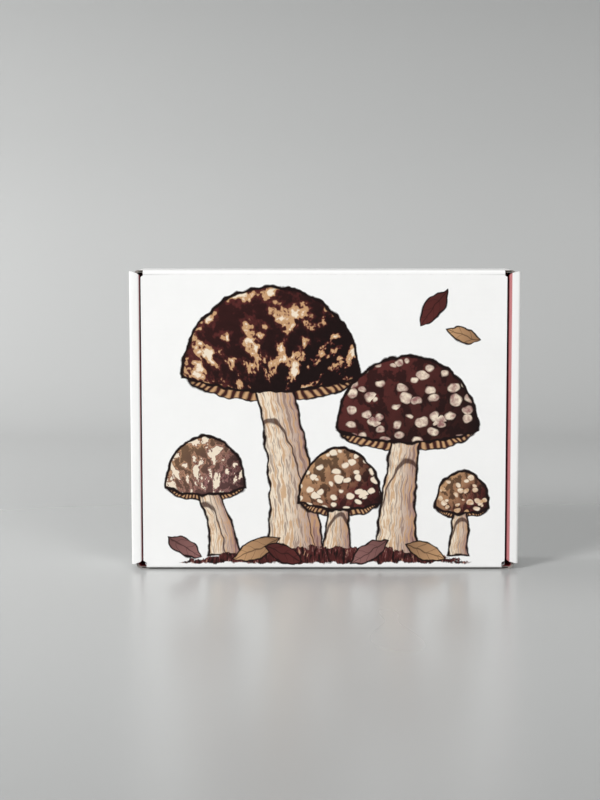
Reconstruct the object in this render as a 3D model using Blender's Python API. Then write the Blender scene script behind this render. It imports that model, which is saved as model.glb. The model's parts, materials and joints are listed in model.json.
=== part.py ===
"""A boxed jigsaw puzzle: a folded corrugated mailer box with rolled side walls, and the puzzle inside it.

The box stands on its front wall with its lid facing -Y. Units are metres and +Z is up. The origin lies under the
middle of the box, on the surface that it stands on. Every panel of the folded sheet is its own solid, set a
crease gap apart from its neighbours, and the lid, tuck flap and ears hang on empties that lie on their creases.
"""

import math

import bmesh
import bpy
from mathutils import Matrix, Vector

# Box, over the outside
BOX_WIDTH = 0.260
BOX_LENGTH = 0.201
BOX_DEPTH = 0.046
BOARD = 0.0016
CREASE_GAP = 0.0003
CREASE_ROUND = 0.0013

# Rolled side walls: outer wall, strip across the top, inner wall with two locking tabs
ROLL_SLACK = 0.0024
STRIP_FRONT_SET = 0.0037
STRIP_REAR_SET = 0.0008
STRIP_SLOPE = 0.0014
INNER_END_GAP = 0.0022
TAB_WIDTH = 0.032
TAB_TAPER = 0.002
TAB_SPREAD = 0.092
SLOT_CLEARANCE = 0.0004
CORNER_FLAP_LENGTH = 0.046
CORNER_FLAP_TAPER = 0.006

# Lid, tuck flap and ears
LID_SIDE_GAP = 0.0013
LID_FRONT_SET = 0.0008
LID_CORNER = 0.0030
TUCK_LENGTH = 0.031
TUCK_LEAN = math.radians(6)
TUCK_ROOT_GAP = 0.0005
TUCK_CORNER = 0.003
EAR_LENGTH = 0.040
EAR_INSET = 0.0003
EAR_ROOT_SET = 0.001
EAR_TAPER = math.radians(22)
EAR_FREE_TAPER = math.radians(3)
EAR_CORNER = 0.003

# Jigsaw
COLUMNS = 6
ROWS = 5
PUZZLE_SIDE_GAP = 0.0035
PUZZLE_END_GAP = 0.0015
PIECE_THICKNESS = 0.0024
PIECE_CLEARANCE = 0.0003
KNOB_RADIUS = 0.0043
KNOB_NECK = 0.0052
KNOB_REACH = 0.0092
KNOB_ROOT = 0.0009
KNOB_DRIFT = 0.0022
KNOB_SPREAD = 0.07
KNOB_POINTS = 9
# how far each column, row and direction turns the wave that varies the knobs, and the waves' rates
KNOB_TURNS = (2.4, 3.7, 1.3)
DRIFT_RATE = 3
SPREAD_RATE = 5

# Places that follow from the sizes above
LID_FACE = -BOX_DEPTH / 2
LID_UNDERSIDE = LID_FACE + BOARD
WALL_TOP = LID_UNDERSIDE + CREASE_GAP
BASE_FACE = BOX_DEPTH / 2
BASE_INSIDE = BASE_FACE - BOARD
SIDE_FACE = BOX_WIDTH / 2
ROLL_WIDTH = 3 * BOARD + ROLL_SLACK
INNER_FACE = SIDE_FACE - ROLL_WIDTH
CORNER_FLAP_FACE = SIDE_FACE - BOARD - ROLL_SLACK / 2
LID_EDGE = INNER_FACE - LID_SIDE_GAP
EAR_FACE = LID_EDGE - EAR_INSET
EAR_CREASE = EAR_FACE - BOARD
TUCK_CREASE = BOARD + TUCK_ROOT_GAP + BOARD * math.cos(TUCK_LEAN)
PUZZLE_BACK = BASE_INSIDE - CREASE_GAP
PUZZLE_FOOT = BOARD + CREASE_GAP
PIECE_WIDTH = 2 * (EAR_CREASE - PUZZLE_SIDE_GAP) / COLUMNS
PIECE_HEIGHT = (BOX_LENGTH - BOARD - PUZZLE_END_GAP - PUZZLE_FOOT) / ROWS


def clear_scene():
    for obj in list(bpy.data.objects):
        bpy.data.objects.remove(obj, do_unlink=True)


def finish(name, colour, roughness):
    material = bpy.data.materials.new(name)
    material.use_nodes = True
    shader = material.node_tree.nodes["Principled BSDF"]
    shader.inputs["Base Color"].default_value = (*colour, 1.0)
    shader.inputs["Roughness"].default_value = roughness
    shader.inputs["Metallic"].default_value = 0.0
    return material


def crease(name, place, parent=None):
    """An empty on a fold line, which the panels beyond the fold are parented to."""
    empty = bpy.data.objects.new(name, None)
    empty.empty_display_size = BOX_DEPTH / 4
    empty.parent = parent
    empty.matrix_local = place
    bpy.context.scene.collection.objects.link(empty)
    return empty


def rounded(corners, steps=4):
    """A closed outline from corners given as (a, b, radius), each turned into an arc of its radius."""
    points = []
    for index, (a, b, radius) in enumerate(corners):
        corner = Vector((a, b))
        if radius == 0:
            points.append(corner)
            continue
        back = (Vector(corners[index - 1][:2]) - corner).normalized()
        ahead = (Vector(corners[(index + 1) % len(corners)][:2]) - corner).normalized()
        half = back.angle(ahead) / 2
        centre = corner + (back + ahead).normalized() * (radius / math.sin(half))
        start = corner + back * (radius / math.tan(half)) - centre
        end = corner + ahead * (radius / math.tan(half)) - centre
        first = math.atan2(start.y, start.x)
        sweep = math.remainder(math.atan2(end.y, end.x) - first, 2 * math.pi)
        for step in range(steps + 1):
            angle = first + sweep * step / steps
            points.append(centre + Vector((math.cos(angle), math.sin(angle))) * radius)
    return points


def slab(outline, across, low, high):
    """A flat board: an outline in the two axes other than the one it is extruded along, from low to high."""
    mesh = bmesh.new()
    axis = "xyz".index(across)
    ring = []
    for point in outline:
        place = [point[0], point[1]]
        place.insert(axis, low)
        ring.append(mesh.verts.new(place))
    face = mesh.faces.new(ring)
    pulled = bmesh.ops.extrude_face_region(mesh, geom=[face])
    shift = Vector((0, 0, 0))
    shift[axis] = high - low
    moved = [item for item in pulled["geom"] if isinstance(item, bmesh.types.BMVert)]
    bmesh.ops.translate(mesh, verts=moved, vec=shift)
    bmesh.ops.recalc_face_normals(mesh, faces=mesh.faces)
    return mesh


def box(x_range, y_range, z_range):
    outline = [(x, y) for x, y in zip(x_range + x_range[::-1], (y_range[0],) * 2 + (y_range[1],) * 2)]
    return slab(outline, "z", *z_range)


def round_fold(mesh, **line):
    """Rounds the straight edges that lie on the line given by two of the coordinates x, y and z."""
    edges = []
    for edge in mesh.edges:
        ends = edge.verts
        if all(abs(getattr(end.co, axis) - level) < 1e-6 for end in ends for axis, level in line.items()):
            edges.append(edge)
    bmesh.ops.bevel(mesh, geom=edges, offset=CREASE_ROUND, segments=4, profile=0.5, affect="EDGES")
    return mesh


def add_part(name, mesh, outside, lining=None, inside=None, parent=None):
    """One named solid. Faces that look along inside take the lining's colour."""
    data = bpy.data.meshes.new(name)
    data.materials.append(outside)
    if lining:
        data.materials.append(lining)
        for face in mesh.faces:
            face.material_index = int(face.normal.dot(Vector(inside)) > 0.9)
    mesh.to_mesh(data)
    mesh.free()
    data.shade_smooth()
    data.set_sharp_from_angle(angle=math.radians(35))
    obj = bpy.data.objects.new(name, data)
    obj.parent = parent
    bpy.context.scene.collection.objects.link(obj)
    return obj


def cut(obj, cutter_mesh):
    data = bpy.data.meshes.new(obj.name + "_cutter")
    cutter_mesh.to_mesh(data)
    cutter_mesh.free()
    cutter = bpy.data.objects.new(data.name, data)
    cutter.hide_render = True
    cutter.display_type = "WIRE"
    bpy.context.scene.collection.objects.link(cutter)
    boolean = obj.modifiers.new("slots", "BOOLEAN")
    boolean.operation = "DIFFERENCE"
    boolean.object = cutter


def tab_places():
    middle = BOX_LENGTH / 2
    return (middle - TAB_SPREAD / 2, middle + TAB_SPREAD / 2)


def make_base(white, red):
    edge = SIDE_FACE - BOARD - CREASE_GAP
    ends = (BOARD + CREASE_GAP, BOX_LENGTH - BOARD - CREASE_GAP)
    base = add_part("base_panel", box((-edge, edge), (BASE_INSIDE, BASE_FACE), ends), white, red, (0, -1, 0))
    slots = bmesh.new()
    for side in (-1, 1):
        wall = sorted((side * (INNER_FACE - SLOT_CLEARANCE), side * (INNER_FACE + BOARD + SLOT_CLEARANCE)))
        for middle in tab_places():
            reach = TAB_WIDTH / 2 + SLOT_CLEARANCE
            slot = box(tuple(wall), (BASE_INSIDE - BOARD, BASE_FACE + BOARD), (middle - reach, middle + reach))
            data = bpy.data.meshes.new("slot")
            slot.to_mesh(data)
            slot.free()
            slots.from_mesh(data)
            bpy.data.meshes.remove(data)
    cut(base, slots)


def make_end_walls(white, red):
    """The front wall, which the box stands on, and the rear wall, with the corner flaps folded from their ends."""
    for end in ("front", "rear"):
        outer, inner = (0.0, BOARD) if end == "front" else (BOX_LENGTH, BOX_LENGTH - BOARD)
        inward = 1 if end == "front" else -1
        levels = (min(outer, inner), max(outer, inner))
        wall = box((-CORNER_FLAP_FACE, CORNER_FLAP_FACE), (WALL_TOP, BASE_FACE), levels)
        round_fold(wall, y=BASE_FACE, z=outer)
        round_fold(wall, x=-CORNER_FLAP_FACE, z=outer)
        round_fold(wall, x=CORNER_FLAP_FACE, z=outer)
        add_part(end + "_wall", wall, white, red, (0, 0, inward))
        for side, sign in (("left", -1), ("right", 1)):
            root = inner + inward * CREASE_GAP
            tip = root + inward * CORNER_FLAP_LENGTH
            low = WALL_TOP + CREASE_GAP
            high = BASE_INSIDE - 2 * CREASE_GAP
            outline = rounded(
                [
                    (low, root, 0),
                    (high, root, 0),
                    (high - CORNER_FLAP_TAPER, tip, CORNER_FLAP_TAPER / 2),
                    (low + CORNER_FLAP_TAPER, tip, CORNER_FLAP_TAPER / 2),
                ]
            )
            faces = sorted((sign * CORNER_FLAP_FACE, sign * (CORNER_FLAP_FACE - BOARD)))
            name = end + "_" + side + "_corner_flap"
            add_part(name, slab(outline, "x", *faces), white, red, (-sign, 0, 0))


def inner_wall_outline():
    """The inner wall seen from the side, with its two tapered tabs reaching into the base."""
    foot = BASE_INSIDE - CREASE_GAP
    tip = BASE_FACE - CREASE_GAP
    low = BOARD + INNER_END_GAP
    high = BOX_LENGTH - BOARD - INNER_END_GAP
    points = [(WALL_TOP, low), (foot, low)]
    for middle in tab_places():
        near = middle - TAB_WIDTH / 2
        far = middle + TAB_WIDTH / 2
        points += [(foot, near), (tip, near + TAB_TAPER), (tip, far - TAB_TAPER), (foot, far)]
    return points + [(foot, high), (WALL_TOP, high)]


def make_side_walls(white, red):
    low = STRIP_FRONT_SET
    high = BOX_LENGTH - STRIP_REAR_SET
    for side, sign in (("left", -1), ("right", 1)):
        faces = sorted((sign * SIDE_FACE, sign * (SIDE_FACE - BOARD)))
        outer = box(tuple(faces), (WALL_TOP, BASE_FACE), (low, high))
        round_fold(outer, x=sign * SIDE_FACE, y=BASE_FACE)
        add_part(side + "_outer_wall", outer, white, red, (-sign, 0, 0))

        outline = [
            (sign * SIDE_FACE, low),
            (sign * INNER_FACE, low + STRIP_SLOPE),
            (sign * INNER_FACE, high - STRIP_SLOPE),
            (sign * SIDE_FACE, high),
        ]
        strip = slab(outline, "y", LID_FACE, LID_UNDERSIDE)
        round_fold(strip, x=sign * SIDE_FACE, y=LID_FACE)
        round_fold(strip, x=sign * INNER_FACE, y=LID_FACE)
        add_part(side + "_roll_strip", strip, white, red, (0, 1, 0))

        faces = sorted((sign * INNER_FACE, sign * (INNER_FACE + BOARD)))
        add_part(side + "_inner_wall", slab(inner_wall_outline(), "x", *faces), white, red, (-sign, 0, 0))


def make_lid(white, red):
    """The lid with its tuck flap and ears, each built in the frame of the crease that it turns about."""
    hinge = crease("lid_hinge", Matrix.Translation((0, LID_FACE, BOX_LENGTH)))
    front = LID_FRONT_SET - BOX_LENGTH
    trim = LID_CORNER
    outline = [
        (-LID_EDGE, front + trim),
        (-LID_EDGE + trim, front),
        (LID_EDGE - trim, front),
        (LID_EDGE, front + trim),
        (LID_EDGE, -trim),
        (LID_EDGE - trim, 0),
        (-LID_EDGE + trim, 0),
        (-LID_EDGE, -trim),
    ]
    lid = slab(outline, "y", 0, BOARD)
    round_fold(lid, y=0, z=0)
    round_fold(lid, y=0, z=front)
    add_part("lid_panel", lid, white, red, (0, 1, 0), hinge)

    place = Matrix.Translation((0, BOARD, TUCK_CREASE - BOX_LENGTH)) @ Matrix.Rotation(TUCK_LEAN, 4, "X")
    fold = crease("tuck_flap_crease", place, hinge)
    end = EAR_CREASE - CREASE_GAP
    outline = rounded(
        [
            (-end, CREASE_GAP, 0),
            (end, CREASE_GAP, 0),
            (end, TUCK_LENGTH, TUCK_CORNER),
            (-end, TUCK_LENGTH, TUCK_CORNER),
        ]
    )
    add_part("tuck_flap", slab(outline, "z", -BOARD, 0), white, red, (0, 0, 1), fold)

    for side, sign in (("left", -1), ("right", 1)):
        bend = crease(side + "_ear_crease", Matrix.Translation((sign * EAR_CREASE, 0, 0)), fold)
        length = TUCK_LENGTH - TUCK_CORNER
        tall = EAR_LENGTH + BOARD
        outline = rounded(
            [
                (EAR_ROOT_SET, -BOARD, 0),
                (length, -BOARD, 0),
                (length - tall * math.tan(EAR_FREE_TAPER), EAR_LENGTH, EAR_CORNER),
                (EAR_ROOT_SET + tall * math.tan(EAR_TAPER), EAR_LENGTH, EAR_CORNER / 2),
            ]
        )
        ear = slab(outline, "x", *sorted((0, sign * BOARD)))
        add_part("tuck_" + side + "_ear", ear, white, red, (-sign, 0, 0), bend)


def seam(column, row, upright, length):
    """The cut between two pieces, as points (along, across) from its low end to its high end.

    A straight run leads through a small root arc into a neck, round the knob and back. The side that the knob
    stands on, its drift along the seam and its size follow the place in the grid, so no two rows repeat.
    """
    phase = sum(turn * count for turn, count in zip(KNOB_TURNS, (column, row, upright)))
    side = 1 if (column + row + upright + (column * row) // 2) % 2 else -1
    middle = length / 2 + KNOB_DRIFT * math.sin(DRIFT_RATE * phase)
    grown = 1 + KNOB_SPREAD * math.cos(SPREAD_RATE * phase)
    radius = KNOB_RADIUS * grown
    neck = KNOB_NECK * grown / 2
    centre = KNOB_REACH * grown - radius
    half = math.pi - math.asin(neck / radius)
    knob = []
    for step in range(KNOB_POINTS):
        angle = half * (2 * step / (KNOB_POINTS - 1) - 1)
        knob.append((middle + radius * math.sin(angle), side * (centre + radius * math.cos(angle)), 0))
    corners = [(0, 0, 0), (middle - neck, 0, KNOB_ROOT)]
    corners += knob
    corners += [(middle + neck, 0, KNOB_ROOT), (length, 0, 0)]
    # the outline is open, so its two end corners carry no arc
    return rounded(corners, steps=2)


def edge_points(column, row, upright):
    """A seam or a straight border of the puzzle, in the puzzle's own plane, without its last point."""
    length = PIECE_HEIGHT if upright else PIECE_WIDTH
    border = column in (0, COLUMNS) if upright else row in (0, ROWS)
    path = [Vector((0, 0)), Vector((length, 0))] if border else seam(column, row, upright, length)
    corner = Vector((column * PIECE_WIDTH, row * PIECE_HEIGHT))
    turned = [Vector((-p.y, p.x)) if upright else Vector((p.x, p.y)) for p in path]
    return [corner + p for p in turned]


def drawn_in(outline, distance):
    """The outline moved inwards by a distance, with each corner kept sharp."""
    moved = []
    for index, point in enumerate(outline):
        back = (point - outline[index - 1]).normalized()
        ahead = (outline[(index + 1) % len(outline)] - point).normalized()
        normals = (Vector((-back.y, back.x)), Vector((-ahead.y, ahead.x)))
        middle = (normals[0] + normals[1]).normalized()
        moved.append(point + middle * (distance / middle.dot(normals[0])))
    return moved


def make_puzzle(card):
    left = -COLUMNS * PIECE_WIDTH / 2
    for row in range(ROWS):
        for column in range(COLUMNS):
            outline = edge_points(column, row, False)[:-1]
            outline += edge_points(column + 1, row, True)[:-1]
            outline += edge_points(column, row + 1, False)[:0:-1]
            outline += edge_points(column, row, True)[:0:-1]
            middle = Vector(((column + 0.5) * PIECE_WIDTH, (row + 0.5) * PIECE_HEIGHT))
            outline = [point - middle for point in drawn_in(outline, PIECE_CLEARANCE / 2)]
            name = f"piece_row{row + 1}_column{column + 1}"
            piece = add_part(name, slab(outline, "y", -PIECE_THICKNESS, 0), card)
            piece.location = (left + middle.x, PUZZLE_BACK, PUZZLE_FOOT + middle.y)


def main():
    clear_scene()
    white = finish("white_print", (0.87, 0.87, 0.86), 0.42)
    red = finish("red_lining", (0.42, 0.045, 0.042), 0.5)
    card = finish("puzzle_print", (0.47, 0.35, 0.28), 0.45)
    make_base(white, red)
    make_end_walls(white, red)
    make_side_walls(white, red)
    make_lid(white, red)
    make_puzzle(card)


main()
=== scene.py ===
"""Dresses the boxed jigsaw puzzle: folded corrugated board, a printed lid, a red inside and the cut puzzle.

Laid out as an add-on and run as a script. Sizes are in metres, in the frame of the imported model:
X runs along the box's width, Y from the lid to the base and Z up from the edge that the box stands on.
"""

import json
import math

import bmesh
import bpy
from mathutils import Matrix, Vector


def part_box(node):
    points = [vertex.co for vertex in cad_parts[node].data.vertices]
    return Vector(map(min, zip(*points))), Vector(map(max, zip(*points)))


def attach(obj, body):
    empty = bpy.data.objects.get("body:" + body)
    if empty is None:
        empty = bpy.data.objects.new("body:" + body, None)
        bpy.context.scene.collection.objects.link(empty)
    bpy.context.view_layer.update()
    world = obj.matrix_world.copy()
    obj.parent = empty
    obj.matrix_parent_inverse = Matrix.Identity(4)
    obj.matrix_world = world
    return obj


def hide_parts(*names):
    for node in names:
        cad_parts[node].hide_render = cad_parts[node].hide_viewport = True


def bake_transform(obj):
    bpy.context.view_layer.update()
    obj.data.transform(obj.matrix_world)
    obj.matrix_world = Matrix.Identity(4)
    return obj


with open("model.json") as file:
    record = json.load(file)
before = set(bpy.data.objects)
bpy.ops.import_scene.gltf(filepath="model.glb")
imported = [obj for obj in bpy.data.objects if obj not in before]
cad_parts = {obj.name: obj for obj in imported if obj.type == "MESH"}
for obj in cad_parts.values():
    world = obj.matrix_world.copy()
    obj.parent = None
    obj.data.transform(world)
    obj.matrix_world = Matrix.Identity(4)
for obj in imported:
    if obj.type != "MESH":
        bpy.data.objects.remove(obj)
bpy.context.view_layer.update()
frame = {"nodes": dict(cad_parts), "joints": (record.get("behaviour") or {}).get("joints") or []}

bl_info = {
    "name": "Boxed jigsaw puzzle",
    "version": (1, 0, 0),
    "blender": (4, 5, 0),
    "location": "View3D > Sidebar > Puzzle Box",
    "description": "Builds the finished look of a mailer box that holds a jigsaw puzzle",
    "category": "Object",
}

PICTURE_WIDTH, PICTURE_HEIGHT = 600, 800
PRINT, LINING, FLUTING = range(3)
LEFT, RIGHT = -1, 1
SIDES = (("left", LEFT), ("right", RIGHT))
MM = 0.001

# How the board lies: the lid is pushed to the left, and the front wall stands back from it
LID_SHIFT = -0.6 * MM
FRONT_SET = 1.5 * MM
# The right roll stands a little further in than the left one, and its lower end is cut a little shorter
ROLL_LEAN = {LEFT: -0.1 * MM, RIGHT: 0.6 * MM}
ROLL_SHORT = {LEFT: 0.0, RIGHT: 0.6 * MM}
# Half of what the ends of a rolled wall taper by, at most, from the strip to the base
ROLL_SLOPE = 1.4 * MM
# The bends at the corners are set back from the lid, and the lower right one hardly at all
BEND_SET = {
    ("front", LEFT): 0.9 * MM,
    ("front", RIGHT): 0.1 * MM,
    ("rear", LEFT): 0.9 * MM,
    ("rear", RIGHT): 0.9 * MM,
}
# The lid's nose is bent round to this angle in degrees, and its score line lies this far below the top
NOSE_END = 225
SCORE_DROP = 2.9 * MM
# Where the lid's notches end and its full width begins, up from its front edge and down from the top
FRONT_STEP = (4.0 * MM, 5.0 * MM)
REAR_STEP = (3.6 * MM, 4.4 * MM)
STEP_SOFT = 0.8 * MM
# Points along one flute
FLUTE_STEPS = 8
# How far fluted paper stays inside the edges of a flat board, a fold, a corner bend and the lid's folds
FLUTE_INSET = 0.12 * MM
FOLD_RECESS = 0.5 * MM
BEND_RECESS = 0.25 * MM
LID_RECESS = 0.2 * MM
# The locking tabs, with the room that their slots leave beside and across them
TAB_ROOM = 2.4 * MM
TAB_TAPER = 2 * MM
SLOT_RIM = 0.4 * MM
# Shapes of the corner flaps, the tuck flap and its ears
FLAP_TAPER = 6 * MM
TUCK_CORNER = 3 * MM
EAR_ROOT = 0.4 * MM
EAR_TIP_ROOM = 1.6 * MM
EAR_CORNERS = (3 * MM, 1.5 * MM)
# Points of a solid this close to its end count as the end, and this close to each other as one
END_BAND = 0.2 * MM
SAME_PLACE = 1e-6
# Edges sharper than these angles in degrees stay sharp in the smooth shading
BOARD_SHARP = 32
CARD_SHARP = 40
# Faces of a puzzle piece within this angle in degrees are joined, and those that lean to the lid this far
# are printed
FLAT_ANGLE = 1
PRINTED_LEAN = -0.15
# Specular levels of the printed board and of the puzzle's face
PAPER_SHEEN = 0.22
PUZZLE_SHEEN = 0.25
# Lamps of the stage: name, place, aim, width in metres and power in watts
LAMPS = (
    ("key_lamp", (-1.6, -1.9, 1.6), (0.0, 0.0, 0.10), 1.0, 58.8),
    ("fill_lamp", (1.2, -2.2, 1.3), (0.0, 0.0, 0.10), 1.2, 23.7),
    ("side_lamp", (-1.6, 0.35, 1.0), (-0.6, 0.9, 0.15), 0.8, 14.5),
)
WORLD_STRENGTH = 0.24

# Places taken from the frame
JOINTS = {joint["name"]: joint for joint in frame["joints"]}
LID_LOW, LID_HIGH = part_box("lid_panel")
BOARD = LID_HIGH.y - LID_LOW.y
LID_FACE = LID_LOW.y
LID_UNDERSIDE = LID_HIGH.y
LID_EDGE = LID_HIGH.x
LID_FRONT = LID_LOW.z
TOP = LID_HIGH.z
FRONT_LOW, FRONT_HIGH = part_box("front_wall")
WALL_TOP = FRONT_LOW.y
BASE_FACE = FRONT_HIGH.y
BASE_INSIDE = BASE_FACE - BOARD
CORNER_FACE = FRONT_HIGH.x
STRIP_LOW, STRIP_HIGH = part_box("right_roll_strip")
SIDE_FACE = STRIP_HIGH.x
INNER_FACE = STRIP_LOW.x
INNER_LOW, INNER_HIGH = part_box("right_inner_wall")
FOOT_GAP = FRONT_LOW.y - LID_UNDERSIDE
TUCK_FOLD = Vector(JOINTS["tuck_flap_fold"]["pos_m"])
EAR_FOLD = Vector(JOINTS["right_ear_fold"]["pos_m"])
EAR_AXIS = Vector(JOINTS["left_ear_fold"]["axis"])
TUCK_FRAME = Matrix.Translation((0, TUCK_FOLD.y, TUCK_FOLD.z)) @ Matrix.Rotation(
    math.atan2(EAR_AXIS.z, EAR_AXIS.y), 4, "X"
)
PIECES = sorted(name for name in frame["nodes"] if name.startswith("piece_"))


def length(label, about, default):
    return bpy.props.FloatProperty(
        name=label, description=about, default=default, unit="LENGTH", precision=5
    )


def colour(label, about, default):
    return bpy.props.FloatVectorProperty(
        name=label, description=about, default=default, subtype="COLOR", size=3, min=0.0, max=1.0
    )


def number(label, about, default):
    return bpy.props.FloatProperty(name=label, description=about, default=default)


class BoardSettings(bpy.types.PropertyGroup):
    """The corrugated sheet that the box is folded from"""

    liner: length("Liner", "Thickness of each flat paper liner", 0.26 * MM)
    medium: length("Medium", "Thickness of the fluted paper", 0.18 * MM)
    pitch: length("Flute pitch", "Distance from one flute to the next", 3.3 * MM)
    fold: length("Fold radius", "Outer radius of the folds round the base", 2.1 * MM)
    roll: length("Roll radius", "Outer radius of the folds of the rolled side walls", 2.0 * MM)
    hinge: length("Hinge radius", "Outer radius of the lid's fold", 2.1 * MM)
    nose: length("Nose radius", "Outer radius of the lid's front edge", 1.7 * MM)
    corner: length("Corner radius", "Outer radius where an end wall turns into its corner flap", 3.6 * MM)
    front_notch: length("Front notch", "How far the lid is cut back at its front corners", 2.1 * MM)
    rear_notch: length("Rear notch", "How far the lid is cut back at its rear corners", 1.5 * MM)
    white: colour("White", "Printed outside", (0.905, 0.905, 0.895))
    red: colour("Red", "Printed inside", (0.46, 0.070, 0.078))
    kraft: colour("Fluting", "Bare paper of the flutes and cut edges", (0.34, 0.31, 0.285))


class PictureSettings(bpy.types.PropertyGroup):
    """The print on the lid and on the puzzle"""

    ink: colour("Ink", "Outlines and the darkest caps", (0.010, 0.004, 0.004))
    brown: colour("Brown", "Dark brown washes", (0.045, 0.013, 0.011))
    maroon: colour("Maroon", "Red-brown washes", (0.105, 0.024, 0.022))
    mauve: colour("Mauve", "Pale brown washes", (0.290, 0.140, 0.130))
    tan: colour("Tan", "Warm marks", (0.560, 0.330, 0.170))
    cream: colour("Cream", "Stems and light marks", (0.840, 0.720, 0.570))
    ground: colour("Ground", "Paper tone of the puzzle's picture", (0.800, 0.770, 0.720))
    line: number("Line", "Width of the ink line in millimetres", 0.8)


class PuzzleSettings(bpy.types.PropertyGroup):
    """The cut pieces"""

    softness: length("Edge softness", "Rounding that the cutting die presses into the face", 0.28 * MM)
    card: colour("Card", "Core of the puzzle board", (0.50, 0.45, 0.39))


class StageSettings(bpy.types.PropertyGroup):
    """Camera, light and ground"""

    distance: length("Distance", "From the lid to the camera", 1.1617)
    height: length("Height", "Camera above the ground", 0.2321)
    pitch: number("Pitch", "Degrees that the camera looks down", 5.773)
    focus: number("Focal length", "Focal length in pixels of the picture", 1751.0)
    centre: number("Centre", "Column of the picture where the box's middle falls", 324.9)
    floor: colour("Floor", "Ground and backdrop", (0.530, 0.536, 0.531))


class Value:
    """A shader socket that takes part in Python expressions."""

    def __init__(self, finish, socket):
        self.finish = finish
        self.socket = socket

    def math(self, operation, *others, clamp=False):
        settings = {"operation": operation, "use_clamp": clamp}
        return self.finish.node("ShaderNodeMath", settings, [self, *others])

    def __add__(self, other):
        return self.math("ADD", other)

    __radd__ = __add__

    def __sub__(self, other):
        return self.math("SUBTRACT", other)

    def __rsub__(self, other):
        return self.math("MULTIPLY_ADD", -1.0, other)

    def __mul__(self, other):
        return self.math("MULTIPLY", other)

    __rmul__ = __mul__

    def __truediv__(self, other):
        return self.math("DIVIDE", other)

    def __rtruediv__(self, other):
        return self.finish.node("ShaderNodeMath", {"operation": "DIVIDE"}, [other, self])

    def __abs__(self):
        return self.math("ABSOLUTE")

    def beside(self, name):
        """Another output of the same node."""
        return Value(self.finish, self.socket.node.outputs[name])

    def over(self, other):
        return self.math("MAXIMUM", other)

    def under(self, other):
        return self.math("MINIMUM", other)

    def sine(self):
        return self.math("SINE")

    def root(self):
        return self.math("SQRT")

    def inside(self, edge):
        """1 where a distance is below zero, with a soft edge."""
        return self.math("MULTIPLY_ADD", -1.0 / edge, 0.5, clamp=True)

    def ramp(self, low, high):
        """0 at low and 1 at high, straight between them."""
        return self.math("MULTIPLY_ADD", 1.0 / (high - low), -low / (high - low), clamp=True)


class Finish:
    """One material, built up from nodes, that can name the colours of a picture."""

    def __init__(self, name, picture=None):
        self.picture = picture
        self.material = bpy.data.materials.new(name)
        self.material.use_nodes = True
        self.tree = self.material.node_tree
        self.shader = self.tree.nodes["Principled BSDF"]

    def node(self, kind, settings, sockets, take=0):
        made = self.tree.nodes.new(kind)
        for key, value in settings.items():
            setattr(made, key, value)
        pairs = sockets.items() if isinstance(sockets, dict) else enumerate(sockets)
        for key, value in pairs:
            self.feed(made.inputs[key], value)
        return Value(self, made.outputs[take])

    def feed(self, socket, value):
        """Links a value to a socket or sets it: a number, a colour or the name of a picture's colour."""
        if isinstance(value, str):
            value = getattr(self.picture, value)
        if isinstance(value, Value):
            self.tree.links.new(value.socket, socket)
        elif socket.type == "RGBA":
            socket.default_value = (*value, 1.0)
        else:
            socket.default_value = value

    def mix(self, share, low, high):
        """A colour between two colours."""
        return self.node("ShaderNodeMix", {"data_type": "RGBA"}, {0: share, 6: low, 7: high}, take=2)

    def place(self):
        """The point on the object at rest, as three values in millimetres."""
        point = self.node("ShaderNodeTexCoord", {}, {}, take="Object")
        scaled = self.node("ShaderNodeVectorMath", {"operation": "SCALE"}, {0: point, "Scale": 1000.0})
        return [self.node("ShaderNodeSeparateXYZ", {}, [scaled], take=axis) for axis in range(3)]

    def vector(self, x, y, z=0.0):
        return self.node("ShaderNodeCombineXYZ", {}, [x, y, z])

    def noise(self, point, scale, detail=2.0, roughness=0.5):
        sockets = {"Vector": point, "Scale": scale, "Detail": detail, "Roughness": roughness}
        return self.node("ShaderNodeTexNoise", {}, sockets)

    def bumped(self, height, strength, distance):
        sockets = {"Height": height, "Strength": strength, "Distance": distance}
        return self.node("ShaderNodeBump", {}, sockets)

    def surface(self, base, roughness, normal=None, sheen=0.5):
        self.feed(self.shader.inputs["Base Color"], base)
        self.feed(self.shader.inputs["Roughness"], roughness)
        if normal:
            self.feed(self.shader.inputs["Normal"], normal)
        self.feed(self.shader.inputs["Specular IOR Level"], sheen)
        return self.material


# Toadstools of the printed picture, from the back to the front, in millimetres on the lid:
# foot x, foot z, rim x, rim z, cap width, cap height, stem width, cap tone, mark tone,
# and the size of the spots, or 0 for strokes
TOADSTOOLS = (
    (-20, 10, -36, 130, 118, 60, 25, "ink", "tan", 0),
    (48, 10, 55, 94, 94, 50, 19, "brown", "mauve", 11.0),
    (-68, 10, -80, 56, 54, 34, 14, "mauve", "cream", 0),
    (90, 10, 92, 42, 36, 25, 9, "maroon", "tan", 6.0),
    (8, 8, 10, 46, 56, 36, 14, "maroon", "cream", 8.0),
)
# Leaves in the air and round their feet: middle x, middle z, half length, half width, turn in degrees, tone
FALLING_LEAVES = (
    (72, 176, 15, 6.5, 52, "maroon"),
    (92, 158, 12, 5.0, -18, "tan"),
)
FALLEN_LEAVES = (
    (-94, 15, 13, 5.5, 150, "mauve"),
    (-46, 14, 17, 6.5, 24, "tan"),
    (-28, 11, 14, 5.5, 158, "maroon"),
    (30, 12, 15, 6.0, 32, "mauve"),
    (68, 12, 14, 5.5, 160, "tan"),
)
MOUND_REACH = 108.0
MOUND_FOOT = 4.5
MOUND_RISE = 13.0


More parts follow.
